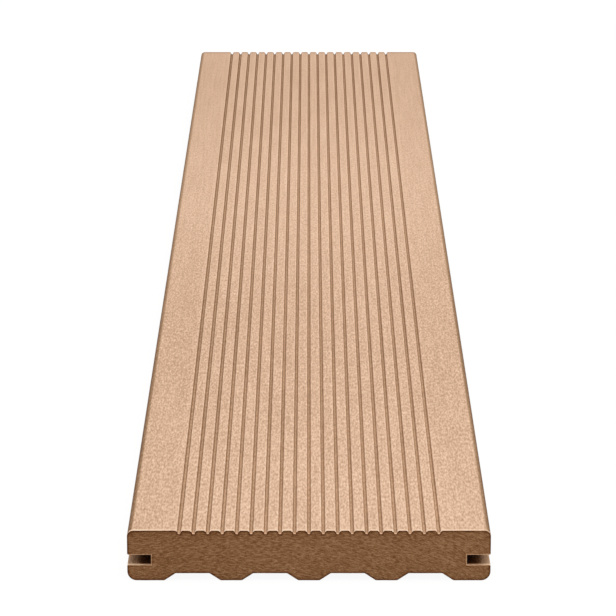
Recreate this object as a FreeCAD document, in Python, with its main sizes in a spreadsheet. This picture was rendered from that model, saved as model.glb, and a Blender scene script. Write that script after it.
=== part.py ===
import FreeCAD, Part
import os
import Sketcher

# A solid decking board, extruded as one piece. It lies with its length along Y, its width along X and its
# walking face up, and the origin is under its middle, on the plane of its feet. Sizes are in millimetres.

SIZES = {
    # The bar that everything else is cut into, with its four long edges rounded
    "board_width": 145.0,
    "board_thickness": 21.0,
    "board_length": 1000.0,
    "top_edge_radius": 2.5,
    "bottom_edge_radius": 3.8,
    # The slot along each side, which takes the hidden fixing clips and leaves a lip above and below
    "slot_height": 4.2,
    "slot_depth": 9.5,
    "slot_corner_radius": 0.3,
    "slot_mouth_radius": 0.5,
    "lower_lip_thickness": 6.6,
    # The wide drainage channels of the underside, which leave a row of flat feet
    "channel_count": 4,
    "channel_pitch": 31.0,
    "channel_mouth_width": 22.5,
    "channel_ceiling_width": 13.5,
    "channel_depth": 3.0,
    "channel_corner_radius": 0.8,
    "foot_corner_radius": 1.5,
    # The narrow grooves of the walking face, with leaning walls and rounded lips
    "groove_count": 19,
    "groove_pitch": 5.75,
    "groove_mouth_width": 1.8,
    "groove_floor_width": 0.8,
    "groove_depth": 1.5,
    "groove_lip_radius": 0.9,
}

# Places on the cross-section, in words of the spreadsheet
LEFT_SIDE = "-Sizes.board_width / 2"
RIGHT_SIDE = "Sizes.board_width / 2"
UNDERSIDE = "0"
WALKING_FACE = "Sizes.board_thickness"
SLOT_MIDDLE = "Sizes.lower_lip_thickness + Sizes.slot_height / 2"
FIRST_CHANNEL = "-Sizes.channel_pitch * (Sizes.channel_count - 1) / 2"
FIRST_GROOVE = "-Sizes.groove_pitch * (Sizes.groove_count - 1) / 2"

# A sketch's origin and a line's two ends, as its constraints name them
ORIGIN = -1
START = 1
END = 2


def make_sheet(doc):
    """Writes the driving sizes to a spreadsheet, where each value's alias is its name."""
    sheet = doc.addObject("Spreadsheet::Sheet", "Sizes")
    for row, (name, value) in enumerate(SIZES.items(), start=1):
        sheet.set(f"A{row}", name)
        sheet.set(f"B{row}", str(value))
        sheet.setAlias(f"B{row}", name)
    doc.recompute()
    return sheet


def origin_plane(body, role):
    """Finds one of the body's own three planes."""
    return next(item for item in body.Origin.OriginFeatures if item.Role == role)


def bind(sketch, name, expression, constraint):
    """Adds a dimension to a sketch and ties it to the sizes."""
    index = sketch.addConstraint(constraint)
    sketch.renameConstraint(index, name)
    sketch.setExpression(f"Constraints.{name}", expression)


def draw_outline(body, sheet, name, corners):
    """Sketches a closed outline on the cross-section, with X across and Z up.

    Each corner is (across, up, radius), in words of the spreadsheet. A corner without a radius is sharp.
    """
    sketch = body.newObject("Sketcher::SketchObject", name)
    sketch.AttachmentSupport = [(origin_plane(body, "XZ_Plane"), "")]
    sketch.MapMode = "FlatFace"

    points = []
    for across, up, radius in corners:
        points.append(FreeCAD.Vector(sheet.evalExpression(across), sheet.evalExpression(up), 0))
    for point, follower in zip(points, points[1:] + points[:1]):
        sketch.addGeometry(Part.LineSegment(point, follower))
    for line in range(len(points)):
        line_before = (line - 1) % len(points)
        sketch.addConstraint(Sketcher.Constraint("Coincident", line_before, END, line, START))

    for line, (across, up, radius) in enumerate(corners):
        corner = line
        if radius:
            size = sheet.evalExpression(radius)
            sketch.fillet(line, START, size, True, True)
            # Rounding adds the arc and then the corner's own point
            arc = sketch.GeometryCount - 2
            corner = sketch.GeometryCount - 1
            bind(sketch, f"radius_{line}", radius, Sketcher.Constraint("Radius", arc, size))
        point = points[line]
        to_the_side = Sketcher.Constraint("DistanceX", ORIGIN, START, corner, START, point.x)
        upwards = Sketcher.Constraint("DistanceY", ORIGIN, START, corner, START, point.y)
        bind(sketch, f"across_{line}", across, to_the_side)
        bind(sketch, f"up_{line}", up, upwards)
    return sketch


def notch_corners(place, mouth, floor, depth, lip_radius, floor_radius):
    """Lists the corners of a notch that opens through a face of the board.

    place(along, out) gives the point of the cross-section that lies so far along the face from the notch's
    middle, and so far out of the face. Beside its mouth the outline follows the face, to round the lips.
    """
    half_floor = f"{floor} / 2"
    half_mouth = f"{mouth} / 2"
    half_outline = f"({half_mouth} + 2 * {lip_radius})"
    return [
        (*place(f"-{half_floor}", f"-{depth}"), floor_radius),
        (*place(half_floor, f"-{depth}"), floor_radius),
        (*place(half_mouth, "0"), lip_radius),
        (*place(half_outline, "0"), None),
        (*place(half_outline, depth), None),
        (*place(f"-{half_outline}", depth), None),
        (*place(f"-{half_outline}", "0"), None),
        (*place(f"-{half_mouth}", "0"), lip_radius),
    ]


def on_left_side(along, out):
    return f"{LEFT_SIDE} - ({out})", f"{SLOT_MIDDLE} + ({along})"


def under_first_channel(along, out):
    return f"{FIRST_CHANNEL} + ({along})", f"{UNDERSIDE} - ({out})"


def over_first_groove(along, out):
    return f"{FIRST_GROOVE} + ({along})", f"{WALKING_FACE} + ({out})"


def cut_through(body, name, section):
    """Cuts an outline out of the board's whole length."""
    cut = body.newObject("PartDesign::Pocket", name)
    cut.Profile = section
    cut.SideType = "Symmetric"
    cut.Type = "ThroughAll"
    body.Document.recompute()
    return cut


def repeat_across(body, name, first, count, pitch):
    """Repeats a cut across the board's width."""
    section = first.Profile[0]
    pattern = body.newObject("PartDesign::LinearPattern", name)
    pattern.Originals = [first]
    pattern.Direction = (section, ["H_Axis"])
    pattern.Mode = "Spacing"
    pattern.setExpression("Offset", pitch)
    pattern.setExpression("Occurrences", count)
    body.Tip = pattern
    body.Document.recompute()
    return pattern


def make_blank(body, sheet):
    """The bar itself, which reaches as far to each side of the cross-section's plane."""
    section = draw_outline(body, sheet, "BlankSection", [
        (LEFT_SIDE, UNDERSIDE, "Sizes.bottom_edge_radius"),
        (RIGHT_SIDE, UNDERSIDE, "Sizes.bottom_edge_radius"),
        (RIGHT_SIDE, WALKING_FACE, "Sizes.top_edge_radius"),
        (LEFT_SIDE, WALKING_FACE, "Sizes.top_edge_radius"),
    ])
    blank = body.newObject("PartDesign::Pad", "Blank")
    blank.Profile = section
    blank.SideType = "Symmetric"
    blank.setExpression("Length", "Sizes.board_length")
    body.Document.recompute()
    return [blank]


def cut_slots(body, sheet):
    """The left side's slot, and its mirror image on the right."""
    section = draw_outline(body, sheet, "SlotSection", notch_corners(
        on_left_side,
        mouth="Sizes.slot_height",
        floor="Sizes.slot_height",
        depth="Sizes.slot_depth",
        lip_radius="Sizes.slot_mouth_radius",
        floor_radius="Sizes.slot_corner_radius",
    ))
    left = cut_through(body, "LeftSlot", section)
    both = body.newObject("PartDesign::Mirrored", "BothSlots")
    both.Originals = [left]
    both.MirrorPlane = (origin_plane(body, "YZ_Plane"), [""])
    body.Tip = both
    body.Document.recompute()
    return [left, both]


def cut_channels(body, sheet):
    """The underside's channels, with sloping sides and rounded feet between them."""
    section = draw_outline(body, sheet, "ChannelSection", notch_corners(
        under_first_channel,
        mouth="Sizes.channel_mouth_width",
        floor="Sizes.channel_ceiling_width",
        depth="Sizes.channel_depth",
        lip_radius="Sizes.foot_corner_radius",
        floor_radius="Sizes.channel_corner_radius",
    ))
    first = cut_through(body, "FirstChannel", section)
    return [first, repeat_across(body, "Channels", first, "Sizes.channel_count", "Sizes.channel_pitch")]


def cut_grooves(body, sheet):
    """The walking face's grooves."""
    section = draw_outline(body, sheet, "GrooveSection", notch_corners(
        over_first_groove,
        mouth="Sizes.groove_mouth_width",
        floor="Sizes.groove_floor_width",
        depth="Sizes.groove_depth",
        lip_radius="Sizes.groove_lip_radius",
        floor_radius=None,
    ))
    first = cut_through(body, "FirstGroove", section)
    return [first, repeat_across(body, "Grooves", first, "Sizes.groove_count", "Sizes.groove_pitch")]


def check(doc, body, steps):
    """Stops where a feature failed, a cut took nothing away or the board isn't one valid solid."""
    for item in doc.Objects:
        if "Invalid" in item.State or "Error" in item.State:
            raise ValueError(f"{item.Name} failed: {item.State}")
    for before, after in zip(steps, steps[1:]):
        if after.Shape.Volume >= before.Shape.Volume:
            raise ValueError(f"{after.Name} took nothing away")
    if body.Shape.isNull() or not body.Shape.isValid() or len(body.Shape.Solids) != 1:
        raise ValueError(f"{body.Label} is not one valid solid")


def main():
    doc = FreeCAD.newDocument("DeckingBoard")
    sheet = make_sheet(doc)
    board = doc.addObject("PartDesign::Body", "Board")
    board.Label = "decking_board"
    board.Placement = FreeCAD.Placement()
    steps = make_blank(board, sheet)
    steps += cut_slots(board, sheet)
    steps += cut_channels(board, sheet)
    steps += cut_grooves(board, sheet)
    doc.recompute()
    check(doc, board, steps)
    os.makedirs("parts", exist_ok=True)
    board.Shape.exportStep(f"parts/{board.Label}.step")


main()
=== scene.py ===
import math

import bpy
import numpy as np
from mathutils import Color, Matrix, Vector, noise
from mathutils.geometry import delaunay_2d_cdt


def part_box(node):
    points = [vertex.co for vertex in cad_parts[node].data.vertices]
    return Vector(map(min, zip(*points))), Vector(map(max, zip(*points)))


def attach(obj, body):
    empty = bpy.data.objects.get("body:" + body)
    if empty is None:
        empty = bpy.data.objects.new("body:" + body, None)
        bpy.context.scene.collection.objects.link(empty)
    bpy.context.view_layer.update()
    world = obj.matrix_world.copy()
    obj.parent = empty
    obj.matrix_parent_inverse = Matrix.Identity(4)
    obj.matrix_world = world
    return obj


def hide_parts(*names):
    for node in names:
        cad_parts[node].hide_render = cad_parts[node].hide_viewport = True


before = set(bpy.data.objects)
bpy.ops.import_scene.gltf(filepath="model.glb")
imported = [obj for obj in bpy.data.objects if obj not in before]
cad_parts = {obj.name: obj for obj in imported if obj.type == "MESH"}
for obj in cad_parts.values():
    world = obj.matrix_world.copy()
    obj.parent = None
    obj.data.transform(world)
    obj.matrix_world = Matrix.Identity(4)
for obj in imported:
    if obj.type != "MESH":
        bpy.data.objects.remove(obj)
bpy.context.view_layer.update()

# The looks of a solid decking board of wood-plastic composite. It lies flat with its walking face up, its
# length along Y and its width along X, and the origin is under its middle, on the plane of its feet. Sizes
# are in metres.

MM = 0.001

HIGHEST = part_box("decking_board")[1]
HALF_WIDTH = HIGHEST.x
HALF_LENGTH = HIGHEST.y
THICKNESS = HIGHEST.z
FRONT = -1
BACK = 1

# The cross-section: its long edges, and the notches as they repeat on each side
TOP_EDGE_RADIUS = 2.5 * MM
BOTTOM_EDGE_RADIUS = 3.8 * MM
LOWER_LIP = 6.6 * MM
SLOT = dict(mouth=4.2 * MM, floor=4.2 * MM, depth=9.5 * MM, lip_radius=0.5 * MM, floor_radius=0.3 * MM)
SLOT_MIDDLE = LOWER_LIP + SLOT["mouth"] / 2
CHANNEL = dict(mouth=22.5 * MM, floor=13.5 * MM, depth=3 * MM, lip_radius=1.5 * MM, floor_radius=0.8 * MM)
CHANNEL_COUNT = 4
CHANNEL_PITCH = 31.0 * MM
GROOVE = dict(mouth=1.8 * MM, floor=0.8 * MM, depth=1.5 * MM, lip_radius=0.9 * MM, floor_radius=0)
GROOVE_COUNT = 19
GROOVE_PITCH = 5.75 * MM

# How finely the mesh follows it, and fills the ends with rows of points that keep clear of the outline
ARC_STEP = math.radians(10)
FLAT_STEP = 0.9 * MM
LENGTH_STEP = 25.0 * MM
END_STEP = 0.5 * MM
END_ROW_STEP = END_STEP * math.sqrt(0.75)
END_CLEARANCE = 0.6 * END_STEP
SHARP_ANGLE = math.radians(32)

# The filling of an outline: triangles inside it only, and the distance below which two points are one
INSIDE_ONLY = 1
SAME_POINT = 1e-9

# Where the surfaces lie on the board's map: the long faces unrolled side by side, then the two ends in
# strips. The long faces get more room close to the ends.
MAP_SIDES = (0.003, 0.997)
MAP_END_REACH = 5 * MM
MAP_LENGTH_PLACES = (-HALF_LENGTH, MAP_END_REACH - HALF_LENGTH, HALF_LENGTH - MAP_END_REACH, HALF_LENGTH)
MAP_LENGTH_HEIGHTS = (0.004, 0.024, 0.864, 0.884)
MAP_ENDS = {FRONT: (0.892, 0.940), BACK: (0.948, 0.996)}

# The board's two materials, in the order of its slots
SKIN_SLOT = 0
SAWN_SLOT = 1

# The worn edge round the sawn ends: its width, how much wider it is on the grooves' lips and how much
# narrower where it is sheltered, and the chips and dents that make it uneven
ARRIS = 0.06 * MM
LIP_WEAR = 3.0
SHELTERED_WEAR = 0.75
CHIP_SIZE = 1.3 * MM
CHIP_STRENGTH = 0.7
DENT_SIZE = 3.5 * MM
DENT_STRENGTH = 1.4
LEAST_WEAR = 0.25

# The saw's shallow marks on the ends, which lie on arcs about a point below the board
SAW_CENTRE = (-38.0 * MM, -250.0 * MM)
SAW_MARK_DEPTH = 0.06 * MM
SAW_MARK_WIDTH = 0.9 * MM
SAW_MARK_LENGTH = 9 * MM

# Slices through random patterns, so far apart that the two ends differ
CHIP_SLICE = 37.0
DENT_SLICE = 53.0
SAW_MARK_SLICE = 50.0

# How deep the brushing fades into the grooves and over the long edges. The brush leaned to the right: it
# reached less deep into the grooves towards the left, and further over the right edge.
GROOVE_BRUSHING = (0.38 * MM, 0.72 * MM)
GROOVE_LEAN = 0.6
EDGE_BRUSHING = (0.005 * MM, 0.12 * MM)
EDGE_LEAN = 0.9

# The grooves' lips, by their distance from a groove's middle. Their bright colour is a painted highlight.
LIP_PLACE = GROOVE["mouth"] / 2 + 0.08 * GROOVE["lip_radius"]
LIP_WIDTH = 0.32 * MM

# The composite's looks are written as brightness levels up to this one
FULL_LEVEL = 255

# Levels of the brushed walking face
RIB_LEVEL = 187.5
# A painted highlight on the grooves' lips, which makes up for the shade where they round over
LIP_HIGHLIGHT_GAIN = 19
MARGIN_LEVEL = 184.5

# Levels of the darker skin that the die left, with the depths over which they change, and the painted shade
# laid on it. The grooves' walls are darker than their floors, partly as darker skin and partly as painted
# shade. From the front end to the back, painted shade darkens the grooves, and the painted shade on the long
# edges lightens.
GROOVE_LEVEL = 136
GROOVE_FLOOR_LEVEL = 154
GROOVE_FLOOR = (1.1 * MM, 1.5 * MM)
GROOVE_SHADE_DRIFT = (5, -9)
# The long edges and sides: darker unbrushed skin, with painted shade that deepens down the sides where they
# turn away from the light
EDGE_LEVEL = 122
EDGE_SHADE_DRIFT = 28
EDGE_DEPTH = (2.0 * MM, 4.0 * MM)
SIDE_PAINTED_SHADE_LEVEL = 88
SIDE_DARKENING = (0.05 * MM, 1.2 * MM)
# Painted shade in the slots, deepening inwards, with painted light at their open mouths
SLOT_MOUTH_PAINTED_LIGHT_LEVEL = 165
SLOT_PAINTED_SHADE_LEVEL = 36
SLOT_SHADE_DEPTHS = (2.2 * MM, 6.8 * MM)

# Painted light close to the front end, in patches, where light comes in at the open end: pale skin in the
# slots, on the walking face and some way down the long edges, and darker skin elsewhere
PAINTED_FRONT_LIGHT_LEVEL = 229
PALED_REACH = 2.3 * MM
PALED_EDGE = (0.9 * MM, 2.5 * MM)
PALED_SHARE = 0.9
PALED_PATCHES = dict(sizes=(3 * MM, 3 * MM, 3 * MM), detail=1.0)
PALED_PATCH_STRENGTH = 1.5
DARKENED = 30

# The skin's slow changes: the brush's wave along the board, the darker strip at the back end, and the levels
# that it gains per metre
WAVE_LENGTH = 660 * MM
WAVE_CREST = 100 * MM
WAVE_GAIN = 4
BACK_REACH = 6.0 * MM
BACK_DARKENED = 36
DRIFT_ACROSS = 10
DRIFT_ALONG = 4

# The skin's patterns, with the sizes of their grains along X, Y and Z and their strengths in levels. The
# grain is stronger where the skin is brushed, and fades towards the back end. The die's lines colour only
# unbrushed skin.
GRAIN = dict(sizes=(0.72 * MM, 3.3 * MM, 0.72 * MM), detail=4.0)
GRAIN_STRENGTHS = (100, 138)
GRAIN_FADE_START = -0.6 * HALF_LENGTH
GRAIN_LEFT = 0.3
BRUSH_LINES = dict(sizes=(0.9 * MM, 45.0 * MM, 0.9 * MM), detail=1.0)
BRUSH_LINE_STRENGTH = 21
MOTTLE = dict(sizes=(9 * MM, 60 * MM, 9 * MM), detail=3.0)
MOTTLE_STRENGTH = 12
DIE_LINES = dict(sizes=(0.5 * MM, 300 * MM, 0.5 * MM), detail=2.0)
DIE_LINE_STRENGTH = 34

# The skin's roughness, relief and gloss
SKIN_ROUGHNESS = 0.6
BRUSHED_ROUGHENING = 0.2
GRAIN_ROUGHENING = 0.2
SKIN_RELIEF = 0.05 * MM
DIE_LINE_RELIEF = 0.15
SKIN_SPECULAR = 0.05

# The sawn ends' level and patterns
SAWN_LEVEL = 108
STREAKS = dict(sizes=(1.7 * MM, 0.7 * MM, 0.36 * MM), detail=1.0)
STREAK_STRENGTH = 123
SPECKS = dict(sizes=(0.6 * MM, 0.7 * MM, 0.32 * MM), detail=1.0)
SPECK_STRENGTH = 67
SAWN_MOTTLE = dict(sizes=(12 * MM, 12 * MM, 5 * MM), detail=2.0)
SAWN_MOTTLE_STRENGTH = 14

# Where the sawn ends are darker, in the rim along their outline, towards the top and to the left, and where
# a painted highlight lines the slots. The rim is darkest at the top.
RIM_WIDTH = 1.1 * MM
RIM_GAINS = (-42, -50)
RIM_HEIGHTS = (THICKNESS - 4 * MM, THICKNESS - 1 * MM)
TOP_REACH = 6 * MM
TOP_GAIN = -8
LEFT_GAIN = -6
SLOT_HIGHLIGHT_REACH = (0.2 * MM, 0.6 * MM)
SLOT_HIGHLIGHT_GAIN = 90

# The sawn ends' roughness, relief and gloss
SAWN_ROUGHNESS = 0.85
STREAK_ROUGHENING = 0.2
SAWN_RELIEF = 0.1 * MM
SPECK_RELIEF = 0.4
SAWN_SPECULAR = 0.2

# How far the composite's red, green and blue lie from its level where it is brushed, as the die left it and
# sawn, and the levels between which its colour is blended
BRUSHED_OFFSETS = (35.6, -2.6, -32.5)
DIE_OFFSETS = (35.4, -1.2, -34.2)
SAWN_OFFSETS = (42, -3, -41)
BLENDED_LEVELS = range(15, 256, 40)

# The middle of the noise node's values, and the mix node's sockets for colours, which come after those for
# numbers and vectors
NOISE_MIDDLE = 0.5
MIX_SHARE = 0
MIX_FIRST_COLOUR = 6
MIX_SECOND_COLOUR = 7
MIX_COLOUR_RESULT = 2

# The camera and the light
CAMERA_PLACE = (0.0, -1.82207, 0.47008)
CAMERA_PITCH = math.radians(15.126)
CAMERA_LENS = 204.63
CAMERA_SHIFT = -0.0015
AMBIENT_LEVEL = 0.45
BACKDROP_LEVEL = 1.0
LAMP_POWER = 47.0
LAMP_SIZE = 3.0
LAMP_PLACE = (0.45, -0.55, 2.4)
FLOOR_SIZE = 40.0
FLOOR_LEVEL = 0.8
FLOOR_GLOW = 0.93
FLOOR_SHADOW = 0.1


def smoothstep(low, high, values):
    """Rises smoothly from 0 at low to 1 at high."""
    share = np.clip((values - low) / (high - low), 0, 1)
    return share * share * (3 - 2 * share)


def between(first, second, share):
    """Goes from first to second as share goes from 0 to 1."""
    return first + (second - first) * share


# The cross-section's outline


def notch_corners(middle, mouth, floor, depth, lip_radius, floor_radius):
    """Corners of a notch in a side, as (place along the side, depth, radius)."""
    return [
        (middle - mouth / 2, 0, lip_radius),
        (middle - floor / 2, depth, floor_radius),
        (middle + floor / 2, depth, floor_radius),
        (middle + mouth / 2, 0, lip_radius),
    ]


def repeated(count, pitch, notch):
    """Corners of a row of like notches about a side's middle."""
    corners = []
    for index in range(count):
        corners += notch_corners((index - (count - 1) / 2) * pitch, **notch)
    return corners


def section_corners():
    """Corners of the whole section as (x, z, radius), anticlockwise as seen from the front."""
    middle = THICKNESS / 2
    channels = repeated(CHANNEL_COUNT, CHANNEL_PITCH, CHANNEL)
    grooves = repeated(GROOVE_COUNT, GROOVE_PITCH, GROOVE)
    right_slot = notch_corners(SLOT_MIDDLE - middle, **SLOT)
    left_slot = notch_corners(middle - SLOT_MIDDLE, **SLOT)
    sides = [
        ((0, 0), (1, 0), HALF_WIDTH, BOTTOM_EDGE_RADIUS, channels),
        ((HALF_WIDTH, middle), (0, 1), middle, BOTTOM_EDGE_RADIUS, right_slot),
        ((0, THICKNESS), (-1, 0), HALF_WIDTH, TOP_EDGE_RADIUS, grooves),
        ((-HALF_WIDTH, middle), (0, -1), middle, TOP_EDGE_RADIUS, left_slot),
    ]
    corners = []
    for centre, along, half_side, edge_radius, notches in sides:
        inward = (-along[1], along[0])
        for place, depth, radius in [(-half_side, 0, edge_radius)] + notches:
            x = centre[0] + place * along[0] + depth * inward[0]
            z = centre[1] + place * along[1] + depth * inward[1]
            corners.append((x, z, radius))
    return corners


def corner_points(before, corner, after, radius):
    """Points that round a corner, each with its outward direction. A sharp corner is one point."""
    arriving = (corner - before) / np.linalg.norm(corner - before)
    leaving = (after - corner) / np.linalg.norm(after - corner)
    turn = math.atan2(arriving[0] * leaving[1] - arriving[1] * leaving[0], arriving @ leaving)
    outward = np.array([arriving[1], -arriving[0]])
    if not radius:
        both = outward + np.array([leaving[1], -leaving[0]])
        return [(corner, both / (1 + math.cos(turn)))]
    swing = math.copysign(radius, turn)
    centre = corner - arriving * radius * math.tan(abs(turn) / 2) - outward * swing
    steps = math.ceil(abs(turn) / ARC_STEP)
    points = []
    for step in range(steps + 1):
        angle = turn * step / steps
        turned = np.array([
            outward[0] * math.cos(angle) - outward[1] * math.sin(angle),
            outward[0] * math.sin(angle) + outward[1] * math.cos(angle),
        ])
        points.append((centre + turned * swing, turned))
    return points


def section_outline():
    """Points of the outline and their outward directions, with the flats divided into short steps."""
    corners = [(np.array([x, z]), radius) for x, z, radius in section_corners()]
    rounded = []
    for index, (corner, radius) in enumerate(corners):
        before = corners[index - 1][0]
        after = corners[(index + 1) % len(corners)][0]
        rounded.append(corner_points(before, corner, after, radius))
    points = []
    outwards = []
    for index, arc in enumerate(rounded):
        for point, outward in arc:
            points.append(point)
            outwards.append(outward)
        start = arc[-1][0]
        run = rounded[(index + 1) % len(rounded)][0][0] - start
        length = np.linalg.norm(run)
        flat_outward = np.array([run[1], -run[0]]) / length
        steps = math.ceil(length / FLAT_STEP)
        for step in range(1, steps):
            points.append(start + run * step / steps)
            outwards.append(flat_outward)
    return np.array(points), np.array(outwards)


# What the brush, the die and the saw left along the outline


def groove_distance(x):
    """How far across each place is from the middle of the nearest groove."""
    outermost = (GROOVE_COUNT - 1) / 2
    number = np.clip(np.round(x / GROOVE_PITCH + outermost), 0, GROOVE_COUNT - 1)
    return np.abs(x - (number - outermost) * GROOVE_PITCH)


class Zones:
    """Where the outline's points lie on the board.

    depth is below the walking face, and inset is in from the nearer side. grooved and in_slot say which
    points belong to the grooved part of the walking face and to the slots. lip is 1 on the grooves' lips,
    and brushed is 1 where the brush paled the walking face.
    """

    def __init__(self, outline):
        x = outline[:, 0]
        z = outline[:, 1]
        self.depth = THICKNESS - z
        self.inset = HALF_WIDTH - np.abs(x)
        self.grooved = (np.abs(x) < GROOVE_COUNT * GROOVE_PITCH / 2) & (self.depth < THICKNESS / 2)
        level_with_slot = np.abs(z - SLOT_MIDDLE) < SLOT["mouth"] / 2 + SLOT["lip_radius"]
        self.in_slot = level_with_slot & (self.inset > 0)
        self.lip = self.grooved * np.exp(-((groove_distance(x) - LIP_PLACE) / LIP_WIDTH) ** 2)

        towards_right = x / HALF_WIDTH
        groove_reach = 1 + GROOVE_LEAN * np.minimum(towards_right, 0)
        edge_reach = 1 + EDGE_LEAN * np.maximum(towards_right, 0)
        in_groove = smoothstep(*GROOVE_BRUSHING, self.depth / groove_reach)
        over_edge = smoothstep(*EDGE_BRUSHING, self.depth / edge_reach)
        self.brushed = 1 - np.where(self.grooved, in_groove, over_edge)


def skin_level_with_painted_shade(zones, along):
    """Level of the skin as the die left it, with painted shade in the grooves, on the sides and in the
    slots, and painted light at the slots' mouths. along goes from 0 at the front end to 1 at the back end.
    """
    groove = between(GROOVE_LEVEL, GROOVE_FLOOR_LEVEL, smoothstep(*GROOVE_FLOOR, zones.depth))
    groove += between(*GROOVE_SHADE_DRIFT, smoothstep(0, 1, along))
    slot = between(SLOT_MOUTH_PAINTED_LIGHT_LEVEL, SLOT_PAINTED_SHADE_LEVEL, smoothstep(*SLOT_SHADE_DEPTHS, zones.inset))
    side = between(EDGE_LEVEL, SIDE_PAINTED_SHADE_LEVEL, smoothstep(*SIDE_DARKENING, zones.depth))
    side += along * between(EDGE_SHADE_DRIFT, 0, smoothstep(*EDGE_DEPTH, zones.depth))
    return np.where(zones.grooved, groove, np.where(zones.in_slot, slot, side))


def finish_along(zones, y):
    """The finish of the outline's points where they lie at y along the board.

    tone is the skin's level with its painted shade, and the other level is the one close to the front end,
    with painted light where light comes in at the open end.
    """
    brushed_level = np.where(zones.grooved, RIB_LEVEL + LIP_HIGHLIGHT_GAIN * zones.lip, MARGIN_LEVEL)
    along = (1 + y / HALF_LENGTH) / 2
    tone = between(skin_level_with_painted_shade(zones, along), brushed_level, zones.brushed)
    painted_light_share = np.maximum(1 - smoothstep(*PALED_EDGE, zones.depth), zones.in_slot)
    end_tone = between(tone - DARKENED, PAINTED_FRONT_LIGHT_LEVEL, painted_light_share)
    return dict(brushed=zones.brushed, tone=tone, end_tone=end_tone)


def worn_width(zones):
    """Width of the worn edge at each point of the outline, before chips and dents."""
    in_groove = zones.grooved * (1 - zones.brushed)
    in_slot = zones.in_slot * smoothstep(0, SLOT["lip_radius"], zones.inset)
    sheltered = in_groove + in_slot
    return ARRIS * (1 + LIP_WEAR * zones.lip * zones.brushed) * (1 - SHELTERED_WEAR * sheltered)


def unevenness(point, end):
    """A factor about 1 for the worn edge's width, which varies along the outline."""
    chips = noise.noise(Vector((point[0] / CHIP_SIZE, CHIP_SLICE * end, point[1] / CHIP_SIZE)))
    dents = noise.noise(Vector((point[0] / DENT_SIZE, DENT_SLICE * end, point[1] / DENT_SIZE)))
    return max(1 + CHIP_STRENGTH * chips + DENT_STRENGTH * dents, LEAST_WEAR)


def saw_mark(point, end):
    """Depth of the saw's marks at a point of an end, on arcs about the saw's centre."""
    across = point[0] - SAW_CENTRE[0]
    up = point[1] - SAW_CENTRE[1]
    radius = math.hypot(across, up)
    along = math.atan2(up, across) * radius
    place = Vector((radius / SAW_MARK_WIDTH, along / SAW_MARK_LENGTH, SAW_MARK_SLICE * end))
    return SAW_MARK_DEPTH * (1 + noise.noise(place)) / 2


# The mesh


def inside_outline(places, outline):
    """Which places lie inside the outline."""
    inside = np.zeros(len(places), bool)
    for start, stop in zip(outline, np.roll(outline, -1, axis=0)):
        crosses = (start[1] > places[:, 1]) != (stop[1] > places[:, 1])
        if start[1] != stop[1]:
            share = (places[:, 1] - start[1]) / (stop[1] - start[1])
            inside ^= crosses & (places[:, 0] < between(start[0], stop[0], share))
    return inside


def outline_distance(places, outline):
    """How far each place is from the outline."""
    nearest = np.full(len(places), np.inf)
    for start, stop in zip(outline, np.roll(outline, -1, axis=0)):
        run = stop - start
        share = np.clip((places - start) @ run / (run @ run), 0, 1)
        away = places - start - share[:, None] * run
        nearest = np.minimum(nearest, np.linalg.norm(away, axis=1))
    return nearest


def end_places(outline):
    """Places spread evenly over an end, in staggered rows, with their distance from the outline."""
    columns = np.arange(-HALF_WIDTH, HALF_WIDTH, END_STEP)
    rows = np.arange(0, THICKNESS, END_ROW_STEP)
    across, up = np.meshgrid(columns, rows)
    across[1::2] += END_STEP / 2
    places = np.column_stack([across.ravel(), up.ravel()])
    places = places[inside_outline(places, outline)]
    distance = outline_distance(places, outline)
    clear = distance > END_CLEARANCE
    return places[clear], distance[clear]


def end_triangles(outline, places):
    """Triangles that fill the outline through the places, which are numbered after the outline's points."""
    coordinates = [Vector(point) for point in np.vstack([outline, places])]
    count = len(outline)
    edges = [(index, (index + 1) % count) for index in range(count)]
    triangles, sources = delaunay_2d_cdt(coordinates, edges, [], INSIDE_ONLY, SAME_POINT)[2:4]
    original = [numbers[0] for numbers in sources]
    return [[original[corner] for corner in triangle] for triangle in triangles]


class BoardMesh:
    """Collects the board's points and faces, with the values and map places that go with them."""

    def __init__(self):
        self.points = []
        self.faces = []
        self.materials = []
        self.map_places = []
        self.values = {"brushed": [], "tone": [], "end_tone": [], "rim": []}

    def add_points(self, points, **values):
        """Adds points with their values, and returns the first one's number."""
        first = len(self.points)
        self.points += [tuple(point) for point in points]
        for name, collected in self.values.items():
            collected += list(np.broadcast_to(values[name], len(points)))
        return first

    def add_face(self, corners, material, map_places):
        self.faces.append(corners)
        self.materials.append(material)
        self.map_places += map_places

    def finished(self, name):
        mesh = bpy.data.meshes.new(name)
        mesh.from_pydata(self.points, [], self.faces)
        for value_name, collected in self.values.items():
            attribute = mesh.attributes.new(value_name, "FLOAT", "POINT")
            attribute.data.foreach_set("value", np.array(collected, np.float32))
        mesh.polygons.foreach_set("material_index", np.array(self.materials, np.int32))
        layer = mesh.uv_layers.new(name="OFBake")
        layer.data.foreach_set("uv", np.array(self.map_places, np.float32).ravel())
        mesh.shade_smooth()
        mesh.set_sharp_from_angle(angle=SHARP_ANGLE)
        mesh.validate()
        return mesh


def worn_end(outline, outwards, zones, end):
    """The worn edge's width round one end, and the outline of the end face inside it."""
    widths = worn_width(zones) * np.array([unevenness(point, end) for point in outline])
    return widths, outline - outwards * widths[:, None]


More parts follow.
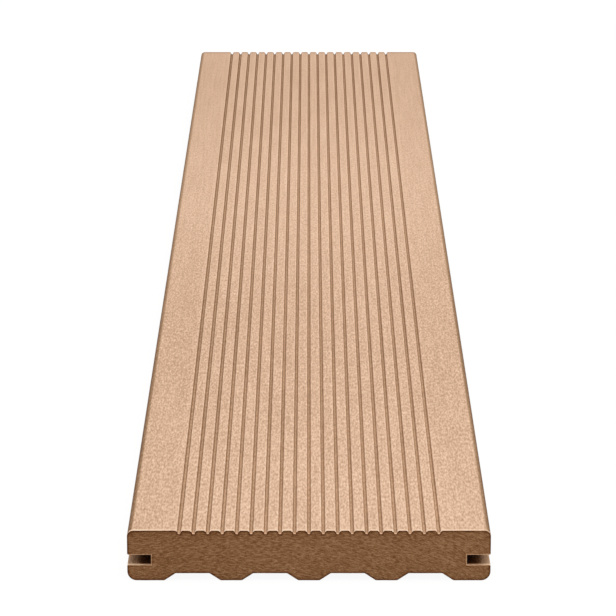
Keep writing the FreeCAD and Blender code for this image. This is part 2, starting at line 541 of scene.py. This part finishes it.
def add_rings(board, outline, outwards):
    """Adds the outline's points all along the board, with a worn edge at each end.

    Returns the rings as (first point's number, the points' places along Y), and the end faces' outlines.
    """
    zones = Zones(outline)
    front_widths, front_outline = worn_end(outline, outwards, zones, FRONT)
    back_widths, back_outline = worn_end(outline, outwards, zones, BACK)
    flat = np.ones(len(outline))
    steps = round(2 * HALF_LENGTH / LENGTH_STEP)

    stations = [(front_outline, FRONT * HALF_LENGTH * flat), (outline, front_widths - HALF_LENGTH)]
    for step in range(1, steps):
        stations.append((outline, HALF_LENGTH * (2 * step / steps - 1) * flat))
    stations += [(outline, HALF_LENGTH - back_widths), (back_outline, BACK * HALF_LENGTH * flat)]

    rings = []
    for places, y in stations:
        points = np.column_stack([places[:, 0], y, places[:, 1]])
        first = board.add_points(points, rim=0, **finish_along(zones, y))
        rings.append((first, y))
    return rings, front_outline, back_outline


def add_long_faces(board, outline, rings):
    """Joins each ring to the next with a row of faces."""
    count = len(outline)
    reach = np.linalg.norm(np.roll(outline, -1, axis=0) - outline, axis=1)
    travelled = np.concatenate([[0], np.cumsum(reach)])
    sideways = np.interp(travelled, (0, travelled[-1]), MAP_SIDES)
    for (near, near_y), (far, far_y) in zip(rings, rings[1:]):
        near_height = np.interp(near_y, MAP_LENGTH_PLACES, MAP_LENGTH_HEIGHTS)
        far_height = np.interp(far_y, MAP_LENGTH_PLACES, MAP_LENGTH_HEIGHTS)
        for index in range(count):
            following = (index + 1) % count
            corners = [near + index, near + following, far + following, far + index]
            map_places = [
                (sideways[index], near_height[index]),
                (sideways[index + 1], near_height[following]),
                (sideways[index + 1], far_height[following]),
                (sideways[index], far_height[index]),
            ]
            board.add_face(corners, SKIN_SLOT, map_places)


def add_end(board, end, first, outline):
    """Fills one end with fine triangles that carry the saw's marks."""
    places, distance = end_places(outline)
    depths = [saw_mark(place, end) for place in places]
    y = end * (HALF_LENGTH - np.array(depths))
    points = np.column_stack([places[:, 0], y, places[:, 1]])
    start = board.add_points(points, brushed=0, tone=0, end_tone=0, rim=distance)
    numbers = list(range(first, first + len(outline))) + list(range(start, start + len(places)))
    every_place = np.vstack([outline, places])
    sideways = np.interp(every_place[:, 0], (-HALF_WIDTH, HALF_WIDTH), MAP_SIDES)
    heights = np.interp(every_place[:, 1], (0, THICKNESS), MAP_ENDS[end])
    for triangle in end_triangles(outline, places):
        if end == BACK:
            triangle = triangle[::-1]
        map_places = [(sideways[corner], heights[corner]) for corner in triangle]
        board.add_face([numbers[corner] for corner in triangle], SAWN_SLOT, map_places)


def make_board():
    outline, outwards = section_outline()
    board = BoardMesh()
    rings, front_outline, back_outline = add_rings(board, outline, outwards)
    add_long_faces(board, outline, rings)
    add_end(board, FRONT, rings[0][0], front_outline)
    add_end(board, BACK, rings[-1][0], back_outline)
    piece = bpy.data.objects.new("board", board.finished("board"))
    bpy.context.scene.collection.objects.link(piece)
    piece.data.materials.append(skin_material())
    piece.data.materials.append(sawn_material())
    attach(piece, "root")
    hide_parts("decking_board")


# The materials


def composite_colour(level, offsets):
    """The composite's linear colour at a level."""
    shares = [min(max(level + offset, 0), FULL_LEVEL) / FULL_LEVEL for offset in offsets]
    return (*Color(shares).from_srgb_to_scene_linear(), 1)


class Shading:
    """Adds nodes to a material or world. A value given to a node is a number, or an output to link."""

    def __init__(self, owner):
        owner.use_nodes = True
        self.tree = owner.node_tree

    def node(self, kind, inputs=(), **settings):
        made = self.tree.nodes.new(kind)
        for name, value in settings.items():
            setattr(made, name, value)
        for name, value in dict(inputs).items():
            self.feed(made.inputs[name], value)
        return made

    def feed(self, socket, value):
        if isinstance(value, bpy.types.NodeSocket):
            self.tree.links.new(value, socket)
        else:
            socket.default_value = value

    def math(self, operation, first, second=0.0):
        return self.node("ShaderNodeMath", {0: first, 1: second}, operation=operation).outputs[0]

    def summed(self, *terms):
        """Adds values, each given with its factor."""
        total = 0.0
        for value, factor in terms:
            inputs = {0: value, 1: factor, 2: total}
            total = self.node("ShaderNodeMath", inputs, operation="MULTIPLY_ADD").outputs[0]
        return total

    def mapped(self, value, low, high, to_low=0.0, to_high=1.0):
        """Goes smoothly from to_low, where the value is low, to to_high, where it is high."""
        inputs = {"Value": value, "From Min": low, "From Max": high, "To Min": to_low, "To Max": to_high}
        made = self.node("ShaderNodeMapRange", inputs, interpolation_type="SMOOTHSTEP")
        return made.outputs["Result"]

    def mixed(self, share, first, second):
        """Mixes two numbers."""
        made = self.node("ShaderNodeMix", {"Factor": share, "A": first, "B": second}, data_type="FLOAT")
        return made.outputs["Result"]

    def blended(self, share, first, second):
        """Mixes two colours."""
        inputs = {MIX_SHARE: share, MIX_FIRST_COLOUR: first, MIX_SECOND_COLOUR: second}
        return self.node("ShaderNodeMix", inputs, data_type="RGBA").outputs[MIX_COLOUR_RESULT]

    def attribute(self, name):
        return self.node("ShaderNodeAttribute", attribute_name=name).outputs["Fac"]

    def position(self):
        return self.node("ShaderNodeTexCoord").outputs["Object"]

    def parts(self, vector, names):
        """The parts of a vector that are named, such as XY."""
        made = self.node("ShaderNodeSeparateXYZ", {0: vector})
        return [made.outputs[name] for name in names]

    def pattern(self, vector, sizes, detail):
        """A random value about 0, mostly between -0.3 and 0.3, in grains of the given sizes."""
        scale = tuple(1 / size for size in sizes)
        measured = self.node("ShaderNodeVectorMath", {0: vector, 1: scale}, operation="MULTIPLY").outputs[0]
        made = self.node("ShaderNodeTexNoise", {"Vector": measured, "Scale": 1.0, "Detail": detail})
        return self.math("SUBTRACT", made.outputs["Fac"], NOISE_MIDDLE)

    def composite(self, level, offsets):
        """Turns a level into the composite's colour."""
        ramp = self.node("ShaderNodeValToRGB", {"Fac": self.math("DIVIDE", level, FULL_LEVEL)})
        elements = ramp.color_ramp.elements
        for index, stop in enumerate(BLENDED_LEVELS):
            share = stop / FULL_LEVEL
            element = elements[index] if index < len(elements) else elements.new(share)
            element.position = share
            element.color = composite_colour(stop, offsets)
        return ramp.outputs["Color"]

    def surface(self, colour, roughness, height, relief, specular):
        """Sets up the material's shader. relief is the real height of a height of 1."""
        shader = self.tree.nodes["Principled BSDF"]
        bump = self.node("ShaderNodeBump", {"Height": height, "Distance": relief, "Strength": 1.0})
        self.feed(shader.inputs["Base Color"], colour)
        self.feed(shader.inputs["Roughness"], roughness)
        self.feed(shader.inputs["Normal"], bump.outputs["Normal"])
        self.feed(shader.inputs["Specular IOR Level"], specular)


def skin_material():
    """The long faces: a pale brushed walking face, and darker smooth skin where the brush doesn't reach,
    with the painted shade that the mesh's tones carry and painted light at the front end.
    """
    material = bpy.data.materials.new("composite_skin")
    shading = Shading(material)
    position = shading.position()
    x, y = shading.parts(position, "XY")
    grain = shading.pattern(position, **GRAIN)
    brush_lines = shading.pattern(position, **BRUSH_LINES)
    mottle = shading.pattern(position, **MOTTLE)
    die_lines = shading.pattern(position, **DIE_LINES)

    brushed = shading.attribute("brushed")
    unbrushed = shading.math("SUBTRACT", 1.0, brushed)
    grain_strength = shading.mapped(brushed, 0.0, 1.0, *GRAIN_STRENGTHS)
    grain_fade = shading.mapped(y, GRAIN_FADE_START, HALF_LENGTH, 1.0, GRAIN_LEFT)
    past_crest = shading.math("SUBTRACT", y, WAVE_CREST)
    wave = shading.math("COSINE", shading.math("MULTIPLY", past_crest, 2 * math.pi / WAVE_LENGTH))
    back = shading.mapped(y, HALF_LENGTH - BACK_REACH, HALF_LENGTH)
    level = shading.summed(
        (shading.attribute("tone"), 1.0),
        (grain, shading.math("MULTIPLY", grain_strength, grain_fade)),
        (brush_lines, BRUSH_LINE_STRENGTH),
        (mottle, MOTTLE_STRENGTH),
        (shading.math("MULTIPLY", die_lines, unbrushed), DIE_LINE_STRENGTH),
        (wave, WAVE_GAIN),
        (back, -BACK_DARKENED),
        (x, DRIFT_ACROSS),
        (y, DRIFT_ALONG),
    )

    # Painted light at the front end, where light comes in at the open ends of the grooves and slots
    front = shading.mapped(y, -HALF_LENGTH, PALED_REACH - HALF_LENGTH, 1.0, 0.0)
    patches = shading.pattern(position, **PALED_PATCHES)
    patchy = shading.summed((patches, PALED_PATCH_STRENGTH), (1.0, PALED_SHARE))
    painted_light_share = shading.math("MULTIPLY", front, patchy)
    level = shading.mixed(painted_light_share, level, shading.attribute("end_tone"))

    brushed_colour = shading.composite(level, BRUSHED_OFFSETS)
    die_colour = shading.composite(level, DIE_OFFSETS)
    colour = shading.blended(brushed, die_colour, brushed_colour)
    roughness = shading.summed(
        (brushed, BRUSHED_ROUGHENING),
        (grain, GRAIN_ROUGHENING),
        (1.0, SKIN_ROUGHNESS),
    )
    height = shading.summed((grain, brushed), (die_lines, DIE_LINE_RELIEF))
    shading.surface(colour, roughness, height, SKIN_RELIEF, SKIN_SPECULAR)
    return material


def on_saw_arcs(shading, x, y, z):
    """A position measured along and across the arcs that the saw's teeth followed, and along the board."""
    across = shading.math("SUBTRACT", x, SAW_CENTRE[0])
    up = shading.math("SUBTRACT", z, SAW_CENTRE[1])
    radius = shading.math("SQRT", shading.summed((across, across), (up, up)))
    angle = shading.math("ARCTAN2", up, across)
    along = shading.math("MULTIPLY", angle, math.hypot(*SAW_CENTRE))
    return shading.node("ShaderNodeCombineXYZ", {"X": along, "Y": y, "Z": radius}).outputs[0]


def slot_distance(shading, x, z):
    """How far outside the nearer slot a place is."""
    beside = shading.math("SUBTRACT", HALF_WIDTH - SLOT["depth"], shading.math("ABSOLUTE", x))
    from_middle = shading.math("ABSOLUTE", shading.math("SUBTRACT", z, SLOT_MIDDLE))
    beyond = shading.math("SUBTRACT", from_middle, SLOT["mouth"] / 2)
    return shading.math("MAXIMUM", beside, beyond)


def sawn_material():
    """The sawn ends: darker, with short streaks on the arcs that the saw's teeth followed."""
    material = bpy.data.materials.new("composite_sawn")
    shading = Shading(material)
    position = shading.position()
    x, y, z = shading.parts(position, "XYZ")
    streaks = shading.pattern(on_saw_arcs(shading, x, y, z), **STREAKS)
    specks = shading.pattern(position, **SPECKS)
    mottle = shading.pattern(position, **SAWN_MOTTLE)

    rim = shading.mapped(shading.attribute("rim"), 0.0, RIM_WIDTH, 1.0, 0.0)
    rim_gain = shading.mapped(z, *RIM_HEIGHTS, *RIM_GAINS)
    # A painted highlight: a bright line round each slot's edge
    slot_highlight = shading.mapped(slot_distance(shading, x, z), *SLOT_HIGHLIGHT_REACH, 1.0, 0.0)
    left = shading.mapped(x, -HALF_WIDTH, 0.0, 1.0, 0.0)
    top = shading.mapped(z, THICKNESS - TOP_REACH, THICKNESS)
    level = shading.summed(
        (streaks, STREAK_STRENGTH),
        (specks, SPECK_STRENGTH),
        (mottle, SAWN_MOTTLE_STRENGTH),
        (rim, rim_gain),
        (slot_highlight, SLOT_HIGHLIGHT_GAIN),
        (left, LEFT_GAIN),
        (top, TOP_GAIN),
        (1.0, SAWN_LEVEL),
    )

    colour = shading.composite(level, SAWN_OFFSETS)
    roughness = shading.summed((streaks, STREAK_ROUGHENING), (1.0, SAWN_ROUGHNESS))
    height = shading.summed((streaks, 1.0), (specks, SPECK_RELIEF))
    shading.surface(colour, roughness, height, SAWN_RELIEF, SAWN_SPECULAR)
    return material


# The stage


def grey(level):
    return (level, level, level, 1)


def seen_directly(shading):
    """1 for rays from the camera, a mirror or glass, which see the backdrop as white."""
    path = shading.node("ShaderNodeLightPath").outputs
    seen = shading.math("MAXIMUM", path["Is Camera Ray"], path["Is Glossy Ray"])
    return shading.math("MAXIMUM", seen, path["Is Transmission Ray"])


def floor_material():
    """A pale floor that looks white and keeps a faint shadow."""
    material = bpy.data.materials.new("floor")
    shading = Shading(material)
    shading.tree.nodes.clear()
    pale = shading.node("ShaderNodeBsdfDiffuse", {"Color": grey(FLOOR_LEVEL)})
    glow = shading.node("ShaderNodeEmission", {"Strength": FLOOR_GLOW})
    shadow = shading.node("ShaderNodeBsdfDiffuse", {"Color": grey(FLOOR_SHADOW)})
    white = shading.node("ShaderNodeAddShader", {0: glow.outputs[0], 1: shadow.outputs[0]})
    shown = shading.node(
        "ShaderNodeMixShader",
        {0: seen_directly(shading), 1: pale.outputs[0], 2: white.outputs[0]},
    )
    shading.node("ShaderNodeOutputMaterial", {"Surface": shown.outputs[0]})
    material.cycles.emission_sampling = "NONE"
    return material


def make_floor():
    half = FLOOR_SIZE / 2
    corners = [(-half, -half, 0), (half, -half, 0), (half, half, 0), (-half, half, 0)]
    mesh = bpy.data.meshes.new("floor")
    mesh.from_pydata(corners, [], [(0, 1, 2, 3)])
    mesh.materials.append(floor_material())
    floor = bpy.data.objects.new("floor", mesh)
    bpy.context.scene.collection.objects.link(floor)


def light_scene():
    """A large soft lamp overhead, and even light from all round in front of a white backdrop."""
    world = bpy.data.worlds.new("studio")
    shading = Shading(world)
    background = shading.tree.nodes["Background"]
    shading.feed(background.inputs["Color"], grey(1))
    strength = shading.mixed(seen_directly(shading), AMBIENT_LEVEL, BACKDROP_LEVEL)
    shading.feed(background.inputs["Strength"], strength)
    bpy.context.scene.world = world

    lamp_data = bpy.data.lights.new("overhead", "AREA")
    lamp_data.size = LAMP_SIZE
    lamp_data.energy = LAMP_POWER
    lamp = bpy.data.objects.new("overhead", lamp_data)
    lamp.location = LAMP_PLACE
    lamp.visible_camera = False
    bpy.context.scene.collection.objects.link(lamp)


def make_camera():
    camera_data = bpy.data.cameras.new("camera")
    camera_data.lens = CAMERA_LENS
    camera_data.shift_x = CAMERA_SHIFT
    camera = bpy.data.objects.new("camera", camera_data)
    camera.location = CAMERA_PLACE
    camera.rotation_euler = (math.pi / 2 - CAMERA_PITCH, 0, 0)
    bpy.context.scene.collection.objects.link(camera)
    bpy.context.scene.camera = camera


bpy.context.scene.view_settings.view_transform = "Standard"
make_board()
make_floor()
light_scene()
make_camera()
